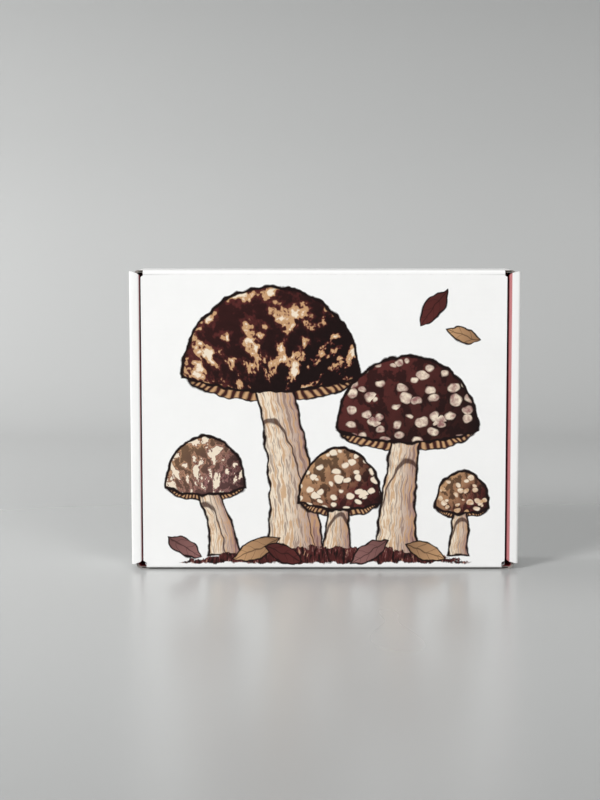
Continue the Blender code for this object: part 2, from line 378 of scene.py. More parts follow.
def paint_leaf(finish, x, z, below, spec, line):
    middle_x, middle_z, half, wide, turn, tone = spec
    angle = math.radians(turn)
    along = (x - middle_x) * (math.cos(angle) / half) + (z - middle_z) * (math.sin(angle) / half)
    across = (z - middle_z) * math.cos(angle) - (x - middle_x) * math.sin(angle)
    edge = abs(across) - (1 - along * along) * wide
    ribs = abs((along * half * 0.45 + abs(across) * 0.5).sine()) * wide * 0.5 - 0.25
    vein = (abs(across) - 0.35).under(ribs)
    shade = finish.mix(along.ramp(-1.0, 1.0) * 0.6, tone, "brown")
    shade = finish.mix(vein.inside(0.5) * 0.7, shade, "ink")
    painted = finish.mix(edge.inside(0.6), below, shade)
    return finish.mix((abs(edge) - line * 0.7).inside(0.6), painted, "ink")


def paint_mound(finish, x, z, wash, below):
    """The earth that the toadstools stand in, brushed on with short upright strokes."""
    far = x * (1.0 / MOUND_REACH)
    rough = wash - 0.5
    tall = (1 - far * far) * MOUND_RISE
    top = z - MOUND_FOOT - tall - rough * 12.0 + 2.0
    edge = top.over(MOUND_FOOT - z + rough * 6.0).over(2.5 - tall)
    blades = finish.noise(finish.vector(x * 0.60, z * 0.13), 1.0, 3.0, 0.6)
    soil = finish.mix(blades.ramp(0.40, 0.60), "ink", "maroon")
    soil = finish.mix((blades + rough * 0.5).ramp(0.58, 0.66) * 0.8, soil, "mauve")
    soil = finish.mix((blades + rough * 0.6).ramp(0.66, 0.72), soil, "tan")
    return finish.mix(edge.inside(0.8), below, soil)


def paint_cap(finish, side, up, wash, spec):
    """The skin of a cap: a wash from light to dark, then brushed strokes or spots."""
    width, height, tone, mark, size = (spec[index] for index in (4, 5, 7, 8, 9))
    light = "maroon" if tone in ("ink", "brown") else "tan"
    glow = (side * -0.55 + up * 0.70 + wash * 0.9).ramp(0.35, 1.35)
    skin = finish.mix(glow * 0.85, tone, light)
    above = up + 0.8
    turn = above.math("ARCTAN2", side)
    reach = (side * side + above * above).root()
    brush = finish.noise(finish.vector(turn * 4.4, reach * 2.4), 1.5, 3.0, 0.6)
    patch = brush + (wash - 0.5) * 0.4
    skin = finish.mix((0.50 - patch).ramp(0.0, 0.05) * 0.7, skin, "ink")
    skin = finish.mix((side + wash * 0.8).ramp(0.80, 1.40) * 0.85, skin, "ink")
    if not size:
        skin = finish.mix(patch.ramp(0.515, 0.545), skin, "maroon")
        skin = finish.mix(patch.ramp(0.545, 0.575), skin, mark)
        return finish.mix(patch.ramp(0.610, 0.650), skin, "cream")
    cell = finish.vector(side * (width / 2 / size), up * (height * 1.25 / size))
    near = finish.node("ShaderNodeTexVoronoi", {"voronoi_dimensions": "2D"}, {"Vector": cell, "Scale": 1.0})
    chance = finish.node("ShaderNodeSeparateColor", {}, [near.beside("Color")])
    spots = (near + wash * 0.3 - chance * 0.26 - 0.30).inside(0.10)
    return finish.mix(spots, skin, finish.mix(wash.ramp(0.36, 0.60), mark, "cream"))


def paint_toadstool(finish, x, z, wash, below, spec, line):
    foot_x, foot_z, rim_x, rim_z, width, height, stem = spec[:7]
    tall = rim_z - foot_z
    rise = (z - foot_z) * (1.0 / tall)
    from_axis = x - foot_x - rise * abs(rise) * (rim_x - foot_x)
    bulb = (1 - rise) * (1 - rise) * (stem * 0.26) + stem * 0.5
    stalk = (abs(from_axis) - bulb).over(foot_z - z).over(z - rim_z)
    side = (x - rim_x) * (2.0 / width)
    up = (z - rim_z) * (1.0 / height)
    reach = (side * side + up * up).root()
    sag = (side * side - 1) * (height * 0.16) - (z - rim_z)
    cap = ((reach - 1) * (height * 0.9)).over(sag)
    gills = ((side * side * 1.12 + up * up * 14.0).root() - 1) * (height * 0.27)

    rays = (side / (abs(up) + 0.55) * 46.0).sine()
    under = finish.mix(rays.ramp(-0.6, 0.9), "brown", "tan")
    painted = finish.mix(gills.inside(0.7), below, under)
    painted = finish.mix((abs(gills) - line * 0.6).inside(0.6), painted, "ink")

    grain = finish.noise(finish.vector(from_axis * (14.0 / stem), rise * (tall / 22.0)), 0.8, 3.0, 0.6)
    shaded = (from_axis / stem + grain * 0.5).ramp(0.05, 0.80) * 0.85
    pale = finish.mix(shaded, "cream", "mauve")
    pale = finish.mix((grain + wash * 0.3).ramp(0.66, 0.72) * 0.8, pale, "tan")
    pale = finish.mix((0.47 - grain).ramp(0.0, 0.04) * 0.55, pale, "maroon")
    collar = abs(rise - 0.76 + side * side * 3.0) * tall - 1.8
    pale = finish.mix(collar.inside(1.2) * 0.85, pale, "brown")
    painted = finish.mix(stalk.inside(0.7), painted, pale)
    painted = finish.mix((abs(stalk) - line).inside(0.7), painted, "ink")

    skin = paint_cap(finish, side, up, wash, spec)
    painted = finish.mix(cap.inside(0.7), painted, skin)
    return finish.mix((abs(cap) - line * 1.3).inside(0.7), painted, "ink")


def paint_picture(finish, x, z, ground):
    """Toadstools and leaves as a brushed ink print over a ground colour."""
    point = finish.vector(x, z)
    wobble = finish.noise(point, 0.10, 1.0)
    ripple = finish.noise(finish.vector(z, x, 7.0), 0.13, 1.0)
    wash = finish.noise(point, 0.16, 4.0, 0.6)
    bent_x = x + (wobble - 0.5) * 4.5
    bent_z = z + (ripple - 0.5) * 4.5
    weight = (wash * 2.0 - 0.05) * finish.picture.line
    painted = ground
    for spec in FALLING_LEAVES:
        painted = paint_leaf(finish, bent_x, bent_z, painted, spec, weight)
    for spec in TOADSTOOLS:
        painted = paint_toadstool(finish, bent_x, bent_z, wash, painted, spec, weight)
    painted = paint_mound(finish, bent_x, bent_z, wash, painted)
    for spec in FALLEN_LEAVES:
        painted = paint_leaf(finish, bent_x, bent_z, painted, spec, weight)
    return painted


def dimmed(tone, share):
    """A colour at a share of its brightness."""
    return [channel * share for channel in tone]


def paper(finish, x, y, z, tone, pitch):
    """Coated liner paper: cloudy fibre, a faint washboard over the flutes and a satin gloss."""
    point = finish.vector(x, y, z)
    cloud = finish.noise(point, 0.045, 3.0, 0.6)
    fibre = finish.noise(point, 2.2, 4.0, 0.65)
    scuff = finish.noise(finish.vector(x * 0.35, y, z * 1.6), 0.16, 6.0, 0.7)
    rub = scuff.ramp(0.62, 0.80)
    shade = finish.mix(cloud.ramp(0.30, 0.72), dimmed(tone, 0.972), tone)
    shade = finish.mix(fibre.ramp(0.35, 0.80) * 0.35, shade, dimmed(tone, 0.965))
    shade = finish.mix(rub * 0.25, shade, dimmed(tone, 0.93))
    gloss = cloud * 0.10 + fibre * 0.08 + rub * 0.12 + 0.30
    ribs = (z * (2 * math.pi / pitch)).sine()
    return shade, gloss, fibre * 0.016 + cloud * 0.05 + ribs * 0.012


def white_print(name, settings, picture=None):
    """White paper, and with a picture its print and the score line along the lid's hinge, pressed in and
    darkened with painted shade.
    """
    finish = Finish(name, picture)
    x, y, z = finish.place()
    shade, gloss, height = paper(finish, x, y, z, settings.white, settings.pitch / MM)
    if picture:
        painted = paint_picture(finish, x, z, shade)
        # Along the pressed score line below the hinge the paper is darkened with painted shade, most
        # towards the lid's ends and a little more where the print is cracked
        cracked = finish.noise(finish.vector(x, z), 0.35, 3.0).ramp(0.52, 0.70)
        score = (abs(z - (TOP - SCORE_DROP) / MM) - 0.25).inside(0.4)
        crease_dent_and_shade = score * (abs(x).ramp(98.0, 121.0) * 0.75 + cracked * 0.25 + 0.08)
        shade = finish.mix(crease_dent_and_shade * 0.8, painted, dimmed(settings.white, 0.55))
        height = height - crease_dent_and_shade * 0.06
    return finish.surface(shade, gloss, finish.bumped(height, 0.5, MM), PAPER_SHEEN)


def red_lining(name, settings):
    finish = Finish(name)
    x, y, z = finish.place()
    tone = settings.red
    shade, gloss, height = paper(finish, x, y, z, tone, settings.pitch / MM)
    speck = finish.noise(finish.vector(x, y, z), 5.5, 2.0, 0.7)
    # Paler red for random specks of faded print, and for the rolls' inner bends, where it is worn print and
    # a painted highlight
    faded_and_lit_red = [c * 0.80 + 0.22 for c in tone]
    shade = finish.mix(speck.ramp(0.66, 0.82) * 0.30, shade, faded_and_lit_red)
    # Along the rolls' inner bends beside the lid the red is lightened: worn print and a painted highlight
    # on the bend
    rolled = (y - (LID_FACE + settings.roll) / MM).inside(1.2)
    beside = ((INNER_FACE / MM - 0.4) - abs(x)).inside(0.2)
    shade = finish.mix(rolled * beside * (speck * 0.5 + 0.40), shade, faded_and_lit_red)
    return finish.surface(shade, gloss + 0.12, finish.bumped(height, 0.5, MM))


def fluting_paper(name, settings):
    finish = Finish(name)
    x, y, z = finish.place()
    tone = settings.kraft
    fibre = finish.noise(finish.vector(x, y, z), 3.0, 5.0, 0.7)
    fleck = finish.noise(finish.vector(x * 3.0, y, z), 1.2, 3.0)
    shade = finish.mix(fibre.ramp(0.30, 0.75), dimmed(tone, 0.78), tone)
    shade = finish.mix(fleck.ramp(0.62, 0.72) * 0.4, shade, dimmed(tone, 0.55))
    return finish.surface(shade, fibre * 0.15 + 0.75, finish.bumped(fibre, 0.4, 0.05 * MM))


def puzzle_print(name, picture):
    finish = Finish(name, picture)
    x, y, z = finish.place()
    point = finish.vector(x, y, z)
    cloud = finish.noise(point, 0.03, 4.0, 0.6)
    linen = (x * 5.2).sine() * (z * 5.2).sine()
    ground = finish.mix(cloud.ramp(0.35, 0.68), "ground", dimmed(picture.ground, 0.86))
    painted = paint_picture(finish, x, z, ground)
    gloss = cloud * 0.12 + linen * 0.03 + 0.28
    return finish.surface(painted, gloss, finish.bumped(linen * 0.02, 0.5, MM), PUZZLE_SHEEN)


def puzzle_card(name, settings):
    finish = Finish(name)
    x, y, z = finish.place()
    tone = settings.card
    layer = finish.noise(finish.vector(x * 0.5, y * 9.0, z * 0.5), 0.8, 4.0, 0.65)
    fleck = finish.noise(finish.vector(x, y, z), 1.7, 3.0, 0.7)
    shade = finish.mix(layer.ramp(0.3, 0.7), dimmed(tone, 0.80), tone)
    shade = finish.mix(fleck.ramp(0.60, 0.74) * 0.5, shade, dimmed(tone, 0.55))
    return finish.surface(shade, layer * 0.15 + 0.75, finish.bumped(layer, 0.4, 0.08 * MM))


def finish_named(name, make, *settings):
    """A finish, made the first time that it is asked for."""
    return bpy.data.materials.get(name) or make(name, *settings)


def board_finishes(board):
    return [
        finish_named("white_print", white_print, board),
        finish_named("red_lining", red_lining, board),
        finish_named("fluting_paper", fluting_paper, board),
    ]


def spot(axis, level, pair):
    """A point from its level along one axis and its two other coordinates."""
    place = list(pair)
    place.insert(axis, level)
    return place


def span(outline, along, at):
    """Lowest and highest coordinate of an outline on a line across it."""
    across = 1 - along
    found = []
    for index, end in enumerate(outline):
        start = outline[index - 1]
        low, high = sorted((start[across], end[across]))
        if low <= at <= high and high > low:
            share = (at - start[across]) / (end[across] - start[across])
            found.append(start[along] + share * (end[along] - start[along]))
    return min(found), max(found)


def arc(centre, radius, first, last, steps=6):
    """Points on an arc with the outward direction at each, angles in degrees."""
    points = []
    for step in range(steps + 1):
        angle = math.radians(first + (last - first) * step / steps)
        out = Vector((math.cos(angle), math.sin(angle)))
        points.append((Vector(centre) + out * radius, out))
    return points


def placed(name, data):
    """A new object in the scene."""
    obj = bpy.data.objects.new(name, data)
    bpy.context.scene.collection.objects.link(obj)
    return obj


class Sheetwork:
    """Collects closed shells of paper, each with its finish, into one piece."""

    def __init__(self, settings):
        self.settings = settings
        self.points = []
        self.faces = []
        self.finishes = []

    def loft(self, rings, finish, shown=None):
        """A closed shell through rings of equal counts, capped at both ends.

        With shown, only that side, or the cap named first or last, is printed and the rest is bare paper.
        """
        count = len(rings[0])
        base = len(self.points)
        for ring in rings:
            self.points += [tuple(point) for point in ring]
        made = [("first", tuple(range(base, base + count)))]
        for row in range(len(rings) - 1):
            low = base + row * count
            for index in range(count):
                ahead = (index + 1) % count
                made.append((index, (low + index, low + ahead, low + count + ahead, low + count + index)))
        last = base + (len(rings) - 1) * count
        made.append(("last", tuple(range(last, last + count))))
        self.faces += [face for side, face in made]
        self.finishes += [finish if shown in (None, side) else FLUTING for side, face in made]

    def liner(self, outline, axis, face, back, finish):
        """A flat liner, printed on its face."""
        rings = [[spot(axis, level, pair) for pair in outline] for level in (face, back)]
        self.loft(rings, finish, "first")

    def board(self, outline, axis, outer, inner, along):
        """A flat board: printed liner, red liner, and flutes that run along one outline coordinate."""
        step = math.copysign(self.settings.liner, inner - outer)
        self.liner(outline, axis, outer, outer + step, PRINT)
        self.liner(outline, axis, inner, inner - step, LINING)
        self.flutes(outline, axis, outer + step, inner - step, along)

    def flutes(self, outline, axis, low, high, along):
        pitch = self.settings.pitch
        sheet = math.copysign(self.settings.medium, high - low)
        first = min(pair[1 - along] for pair in outline) + FLUTE_INSET
        last = max(pair[1 - along] for pair in outline) - FLUTE_INSET
        count = max(4, round((last - first) / pitch * FLUTE_STEPS))
        rings = []
        for index in range(count + 1):
            at = first + (last - first) * index / count
            ends = span(outline, along, at)
            swing = (high - low - sheet) / 2 * math.sin(2 * math.pi * at / pitch)
            middle = (low + high) / 2 + swing
            ring = []
            for level, side in ((-0.5, 0), (-0.5, 1), (0.5, 1), (0.5, 0)):
                pair = [at, at]
                pair[along] = ends[side] + (FLUTE_INSET if side == 0 else -FLUTE_INSET)
                ring.append(spot(axis, middle + level * sheet, pair))
            rings.append(ring)
        self.loft(rings, FLUTING)

    def folded(self, path, axis, split=None, recess=FOLD_RECESS):
        """A folded board along a path of (point, outward, low, high), swept along an axis.

        From the point numbered split on, the printed liner takes the inside's colour.
        """
        liner = self.settings.liner
        parts = [(path[: split + 1] if split else path, 0, liner, PRINT, 0.0)]
        if split:
            parts.append((path[split:], 0, liner, LINING, 0.0))
        parts.append((path, liner, BOARD - liner, FLUTING, recess))
        parts.append((path, BOARD, BOARD - liner, LINING, 0.0))
        for stretch, near, far, finish, short in parts:
            rings = []
            for point, out, low, high in stretch:
                faces = (point - out * near, point - out * far)
                ring = [(faces[0], low + short), (faces[0], high - short)]
                ring += [(faces[1], high - short), (faces[1], low + short)]
                rings.append([spot(axis, level, pair) for pair, level in ring])
            self.loft(rings, finish, 0)

    def piece(self, name, turn=None, face=None):
        """The shells as one object, turned into place, with a finish of its own for the printed side."""
        data = bpy.data.meshes.new(name)
        data.from_pydata(self.points, [], self.faces)
        white, red, bare = board_finishes(self.settings)
        for finish in (face or white, red, bare):
            data.materials.append(finish)
        data.polygons.foreach_set("material_index", self.finishes)
        mesh = bmesh.new()
        mesh.from_mesh(data)
        bmesh.ops.recalc_face_normals(mesh, faces=mesh.faces)
        mesh.to_mesh(data)
        mesh.free()
        if turn:
            data.transform(turn)
        data.shade_smooth()
        data.set_sharp_from_angle(angle=math.radians(BOARD_SHARP))
        return placed(name, data)


def rounded(corners, steps=5):
    """A closed outline from corners given as (a, b, radius)."""
    points = []
    for index, (a, b, radius) in enumerate(corners):
        corner = Vector((a, b))
        if radius == 0:
            points.append(corner)
            continue
        back = (Vector(corners[index - 1][:2]) - corner).normalized()
        ahead = (Vector(corners[(index + 1) % len(corners)][:2]) - corner).normalized()
        half = back.angle(ahead) / 2
        centre = corner + (back + ahead).normalized() * (radius / math.sin(half))
        start = corner + back * (radius / math.tan(half)) - centre
        end = corner + ahead * (radius / math.tan(half)) - centre
        first = math.atan2(start.y, start.x)
        sweep = math.remainder(math.atan2(end.y, end.x) - first, 2 * math.pi)
        for step in range(steps + 1):
            angle = first + sweep * step / steps
            points.append(centre + Vector((math.cos(angle), math.sin(angle))) * radius)
    return points


def box_outline(a_range, b_range):
    (a_low, a_high), (b_low, b_high) = a_range, b_range
    return [(a_low, b_low), (a_high, b_low), (a_high, b_high), (a_low, b_high)]


class PUZZLE_OT_base(bpy.types.Operator):
    """Build the base panel with the slots that take the locking tabs"""

    bl_idname = "puzzle.base"
    bl_label = "Base panel"

    def execute(self, context):
        settings = context.scene.puzzle_board
        work = Sheetwork(settings)
        edge = SIDE_FACE - settings.fold
        low, high = settings.fold, TOP - settings.fold
        tabs = self.tab_spans()
        slot_in = INNER_LOW.x - SLOT_RIM
        slot_out = INNER_HIGH.x + SLOT_RIM
        middle = box_outline((-slot_in, slot_in), (low, high))
        step = settings.liner
        for outer, inner, finish in (
            (BASE_FACE, BASE_FACE - step, PRINT),
            (BASE_INSIDE, BASE_INSIDE + step, LINING),
        ):
            work.liner(middle, 1, outer, inner, finish)
            for sign in (LEFT, RIGHT):
                outer_strip = sorted((sign * slot_out, sign * edge))
                work.liner(box_outline(outer_strip, (low, high)), 1, outer, inner, finish)
                levels = [low] + [level for tab in tabs for level in tab] + [high]
                for start, end in zip(levels[::2], levels[1::2]):
                    between = sorted((sign * slot_in, sign * slot_out))
                    work.liner(box_outline(between, (start, end)), 1, outer, inner, finish)
        work.flutes(middle, 1, BASE_FACE - step, BASE_INSIDE + step, 0)
        panel = work.piece("base_board")
        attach(panel, "box")
        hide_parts("base_panel")
        return {"FINISHED"}

    @staticmethod
    def tab_spans():
        """Where the tabs stand along the inner wall, read from the wall's own points past its foot."""
        foot = BASE_INSIDE - FOOT_GAP / 2
        levels = sorted(v.co.z for v in frame["nodes"]["right_inner_wall"].data.vertices if v.co.y > foot)
        middle = (levels[0] + levels[-1]) / 2
        lower = [level for level in levels if level < middle]
        upper = [level for level in levels if level > middle]
        return [(min(group) - TAB_ROOM, max(group) + TAB_ROOM) for group in (lower, upper)]


class PUZZLE_OT_end_walls(bpy.types.Operator):
    """Build the front and rear walls with the corner flaps that turn up from their ends"""

    bl_idname = "puzzle.end_walls"
    bl_label = "End walls and corner flaps"

    def execute(self, context):
        settings = context.scene.puzzle_board
        fold = settings.fold
        flat = CORNER_FACE - settings.corner
        for end, level, inward in (("front", 0.0, 1), ("rear", TOP, -1)):
            work = Sheetwork(settings)
            start = WALL_TOP + FRONT_SET if end == "front" else LID_FACE + settings.hinge
            outline = box_outline((-flat, flat), (start, BASE_FACE - fold))
            work.board(outline, 2, level, level + inward * BOARD, 0)
            centre = (BASE_FACE - fold, level + inward * fold)
            path = [(p, out, -flat, flat) for p, out in arc(centre, fold, -90 * inward, 0)]
            work.folded(path, 0)
            for side, sign in SIDES:
                low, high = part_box(f"{end}_{side}_corner_flap")
                self.turn(work, settings, sign, level, inward, low.y + BEND_SET[end, sign], high.y)
            wall = work.piece(end + "_wall_board")
            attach(wall, "box")
            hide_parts(end + "_wall")
            for side, sign in SIDES:
                self.flap(settings, end, side, sign, level, inward)
        return {"FINISHED"}

    @staticmethod
    def turn(work, settings, sign, level, inward, low, high):
        """The bend from an end wall into its corner flap, with a cut edge facing the lid."""
        radius = settings.corner
        centre = (sign * (CORNER_FACE - radius), level + inward * radius)
        first = -90 if inward > 0 else 90
        last = first + 90 * sign * inward
        path = [(p, out, low, high) for p, out in arc(centre, radius, first, last, 8)]
        work.folded(path, 1, recess=BEND_RECESS)

    @staticmethod
    def flap(settings, end, side, sign, level, inward):
        node = f"{end}_{side}_corner_flap"
        low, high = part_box(node)
        root = level + inward * settings.corner
        tip = high.z if inward > 0 else low.z
        outline = rounded(
            [
                (low.y, root, 0),
                (high.y, root, 0),
                (high.y - FLAP_TAPER, tip, FLAP_TAPER / 2),
                (low.y + FLAP_TAPER, tip, FLAP_TAPER / 2),
            ]
        )
        work = Sheetwork(settings)
        work.board(outline, 0, sign * CORNER_FACE, sign * (CORNER_FACE - BOARD), 1)
        flap = work.piece(node + "_board")
        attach(flap, "box")
        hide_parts(node)


class PUZZLE_OT_side_walls(bpy.types.Operator):
    """Build each rolled side wall as one folded board with its locking tabs"""

    bl_idname = "puzzle.side_walls"
    bl_label = "Rolled side walls"

    def execute(self, context):
        settings = context.scene.puzzle_board
        for side, sign in SIDES:
            work = Sheetwork(settings)
            path, bend_start, bend_end = self.path(settings, sign)
            # The red begins halfway round the left roll's inner bend, and at the start of the right one's
            work.folded(path, 2, split=(bend_start + bend_end) // 2 if sign == LEFT else bend_start)
            foot = INNER_HIGH.y
            shoulder = BASE_INSIDE - FOOT_GAP
            for low, high in PUZZLE_OT_base.tab_spans():
                low, high = low + TAB_ROOM, high - TAB_ROOM
                outline = [(shoulder, low - TAB_TAPER), (foot, low)]
                outline += [(foot, high), (shoulder, high + TAB_TAPER)]
                work.board(outline, 0, sign * INNER_FACE, sign * (INNER_FACE + BOARD), 0)
            wall = work.piece(side + "_rolled_wall")
            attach(wall, "box")
            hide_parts(side + "_outer_wall", side + "_roll_strip", side + "_inner_wall")
        return {"FINISHED"}

    @staticmethod
    def path(settings, sign):
        """The rolled board seen along Z, from the base's fold over the strip to the inner wall's foot."""
        fold, roll = settings.fold, settings.roll
        low, high = STRIP_LOW.z + ROLL_SHORT[sign], STRIP_HIGH.z
        slope = min((high - low - (INNER_HIGH.z - INNER_LOW.z)) / 2, ROLL_SLOPE)

        def run(points, start, end):
            steps = max(1, len(points) - 1)
            return [
                (p, out, low + start + (end - start) * i / steps, high - start - (end - start) * i / steps)
                for i, (p, out) in enumerate(points)
            ]

        flank, down = (0, -90) if sign == RIGHT else (180, 270)
        base_turn = arc((sign * (SIDE_FACE - fold), BASE_FACE - fold), fold, 90, flank)
        outer_turn = arc((sign * (SIDE_FACE - roll), LID_FACE + roll), roll, flank, down)
        inner_edge = INNER_FACE + roll - ROLL_LEAN[sign]
        inner_turn = arc((sign * inner_edge, LID_FACE + roll), roll, -90, -90 - sign * 90)
        foot = (Vector((sign * INNER_FACE, BASE_INSIDE - FOOT_GAP)), Vector((-sign, 0)))
        path = run(base_turn, slope * 2, slope * 2)
        path += run(outer_turn, 0, 0)
        bend_start = len(path)
        path += run(inner_turn, slope * 0.8, slope * 2.2)
        bend_end = len(path) - 1
        path.append((*foot, INNER_LOW.z, INNER_HIGH.z))
        return path, bend_start, bend_end


class PUZZLE_OT_lid(bpy.types.Operator):
    """Build the printed lid and the fold that hinges it to the rear wall"""

    bl_idname = "puzzle.lid"
    bl_label = "Lid and hinge fold"

    def execute(self, context):
        settings = context.scene.puzzle_board
        face = finish_named("lid_print", white_print, settings, context.scene.puzzle_picture)
        nose = settings.nose
        top = TOP - settings.hinge
        work = Sheetwork(settings)
        work.board(self.outline(settings), 1, LID_FACE, LID_UNDERSIDE, 0)
        narrow = LID_EDGE - settings.front_notch
        bend = arc((LID_FACE + nose, LID_FRONT + nose), nose, 180, NOSE_END, 10)
        work.folded(self.across(bend, narrow), 0, recess=LID_RECESS)
        lid = work.piece("lid_board", face=face)
        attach(lid, "lid")
        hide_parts("lid_panel")

        radius = settings.hinge
        narrow = LID_EDGE - settings.rear_notch
        fold = Sheetwork(settings)
        bend = arc((LID_FACE + radius, top), radius, 180, 90, 16)
        fold.folded(self.across(bend, narrow), 0, recess=LID_RECESS)
        skin = fold.piece("lid_hinge_fold")
        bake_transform(skin)
        return {"FINISHED"}

    @staticmethod
    def across(bend, narrow):
        """The points of a bend with the lid's two ends at each."""
        return [(p, out, LID_SHIFT - narrow, LID_SHIFT + narrow) for p, out in bend]

    @staticmethod
    def outline(settings):
        """The flat of the lid, notched at its four corners, from its round nose to the hinge fold."""
        low, high = LID_FRONT + settings.nose, TOP - settings.hinge
        front, rear = LID_EDGE - settings.front_notch, LID_EDGE - settings.rear_notch
        half = [
            (front, low, 0),
            (front, LID_FRONT + FRONT_STEP[0], STEP_SOFT),
            (LID_EDGE, LID_FRONT + FRONT_STEP[1], STEP_SOFT),
            (LID_EDGE, TOP - REAR_STEP[1], STEP_SOFT),
            (rear, TOP - REAR_STEP[0], STEP_SOFT * 0.8),
            (rear, high, 0),
        ]
        corners = half + [(-x, z, radius) for x, z, radius in reversed(half)]
        return rounded([(x + LID_SHIFT, z, radius) for x, z, radius in corners])


class PUZZLE_OT_tuck(bpy.types.Operator):
    """Build the tuck flap, its two ears and the folds between them"""

    bl_idname = "puzzle.tuck"
    bl_label = "Tuck flap and ears"

    def execute(self, context):
        settings = context.scene.puzzle_board
        end = EAR_FOLD.x - FOOT_GAP
        reach = max(point.y for point in self.local_points("tuck_flap"))
        work = Sheetwork(settings)
        corners = [(-end, FOOT_GAP, 0), (end, FOOT_GAP, 0)]
        corners += [(end, reach, TUCK_CORNER), (-end, reach, TUCK_CORNER)]
        outline = rounded(corners)
        work.board(outline, 2, -BOARD, 0.0, 0)
        flap = work.piece("tuck_flap_board", TUCK_FRAME)
        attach(flap, "tuck_flap")
        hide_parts("tuck_flap")

        self.nose_fold(settings, end)
        for side, sign in SIDES:
            self.ear(settings, side, sign)
        return {"FINISHED"}

    @staticmethod
    def local_points(node):
        """A node's points in the tuck flap's own frame."""
        back = TUCK_FRAME.inverted()
        return [back @ vertex.co for vertex in frame["nodes"][node].data.vertices]

    @staticmethod
    def nose_fold(settings, end):
        """The outer paper that runs from the lid's nose to the flap."""
        nose = (LID_FACE + settings.nose, LID_FRONT + settings.nose)
        start = arc(nose, settings.nose, NOSE_END, NOSE_END, 1)[0][0]
        # The paper clears the front wall's edge and its inside, and ends a little way along the flap
        clear_edge, clear_inside, lap = 0.06 * MM, 0.14 * MM, 0.9 * MM
        turn = Vector((WALL_TOP - clear_edge, BOARD + clear_inside))
        root = TUCK_FRAME @ Vector((0, lap, -BOARD))
        finish = Vector((root.y, root.z))
        steps = 4
        path = [start.lerp(turn, step / steps) for step in range(steps)]
        path += [turn.lerp(finish, step / steps) for step in range(steps + 1)]
        inward = Vector((-0.7, 0.7)) * (settings.liner * 0.7)
        work = Sheetwork(settings)
        rings = []
        for point in path:
            inner = point + inward
            rings.append([(-end, *point), (end, *point), (end, *inner), (-end, *inner)])
        work.loft(rings, PRINT)
        skin = work.piece("tuck_fold")
        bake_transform(skin)

    def ear(self, settings, side, sign):
        node = f"tuck_{side}_ear"
        points = self.local_points(node)
        low, tall = min(p.z for p in points), max(p.z for p in points)
        tips = [p.y for p in points if p.z > tall - END_BAND]
        roots = [p.y for p in points if p.z < low + END_BAND]
        share = (EAR_ROOT - low) / (tall - low)
        near = min(roots) + (min(tips) - min(roots)) * share
        far = max(roots) + (max(tips) - max(roots)) * share
        outline = rounded(
            [
                (near, EAR_ROOT, 0),
                (far, EAR_ROOT, 0),
                (max(tips) + EAR_TIP_ROOM, tall, EAR_CORNERS[0]),
                (min(tips) - EAR_TIP_ROOM / 2, tall, EAR_CORNERS[1]),
            ]
        )
        outer = sign * (EAR_FOLD.x + BOARD)
        work = Sheetwork(settings)
        work.board(outline, 0, outer, sign * EAR_FOLD.x, 1)
        ear = work.piece(node + "_board", TUCK_FRAME)
        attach(ear, side + "_ear")
        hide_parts(node)

        first, last = -90, -90 + 90 * sign
        bend = arc((sign * EAR_FOLD.x, 0.0), BOARD, first, last, 10)
        start = bend[0][0].copy()
        start.x -= sign * FOOT_GAP
        path = [(start, bend[0][1], min(roots), max(roots))]
        path += [(p, out, min(roots), max(roots)) for p, out in bend]
        path.append((Vector((outer, EAR_ROOT)), Vector((sign, 0)), near, far))
        fold = Sheetwork(settings)
        rings = []
        for point, out, front, back in path:
            inner = point - out * settings.liner * 1.5
            ring = [(point.x, front, point.y), (point.x, back, point.y)]
            rings.append(ring + [(inner.x, back, inner.y), (inner.x, front, inner.y)])
        fold.loft(rings, PRINT)
        skin = fold.piece(f"tuck_{side}_ear_fold", TUCK_FRAME)
        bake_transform(skin)


class PUZZLE_OT_pieces(bpy.types.Operator):
    """Build the puzzle pieces from their cut outlines, with pressed edges and a printed face"""

    bl_idname = "puzzle.pieces"
    bl_label = "Puzzle pieces"

    def execute(self, context):
        scene = context.scene
        face = finish_named("puzzle_print", puzzle_print, scene.puzzle_picture)
        card = finish_named("puzzle_card", puzzle_card, scene.puzzle_pieces)
        for name in PIECES:
            row, column = (part[-1] for part in name.split("_")[1:])
            piece = self.cut(name, scene.puzzle_pieces.softness, face, card)
            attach(piece, f"puzzle_{row}_{column}")
            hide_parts(name)
        return {"FINISHED"}

    @staticmethod
    def cut(name, softness, face, card):
        mesh = bmesh.new()
        mesh.from_mesh(frame["nodes"][name].data)
        bmesh.ops.remove_doubles(mesh, verts=mesh.verts, dist=SAME_PLACE)
        flat = math.radians(FLAT_ANGLE)
        bmesh.ops.dissolve_limit(mesh, angle_limit=flat, verts=mesh.verts, edges=mesh.edges)
        front = min(vertex.co.y for vertex in mesh.verts)
        on_face = {vertex for vertex in mesh.verts if abs(vertex.co.y - front) < SAME_PLACE}
        rim = [edge for edge in mesh.edges if on_face.issuperset(edge.verts)]
        bmesh.ops.bevel(
            mesh, geom=rim, offset=softness, segments=3, profile=0.5, affect="EDGES", clamp_overlap=True
        )
        bmesh.ops.recalc_face_normals(mesh, faces=mesh.faces)
        for polygon in mesh.faces:
            polygon.material_index = 0 if polygon.normal.y < PRINTED_LEAN else 1
        data = bpy.data.meshes.new(name + "_card")
        mesh.to_mesh(data)
        mesh.free()
        data.materials.append(face)
        data.materials.append(card)
        data.shade_smooth()
        data.set_sharp_from_angle(angle=math.radians(CARD_SHARP))
        return placed(name + "_card", data)


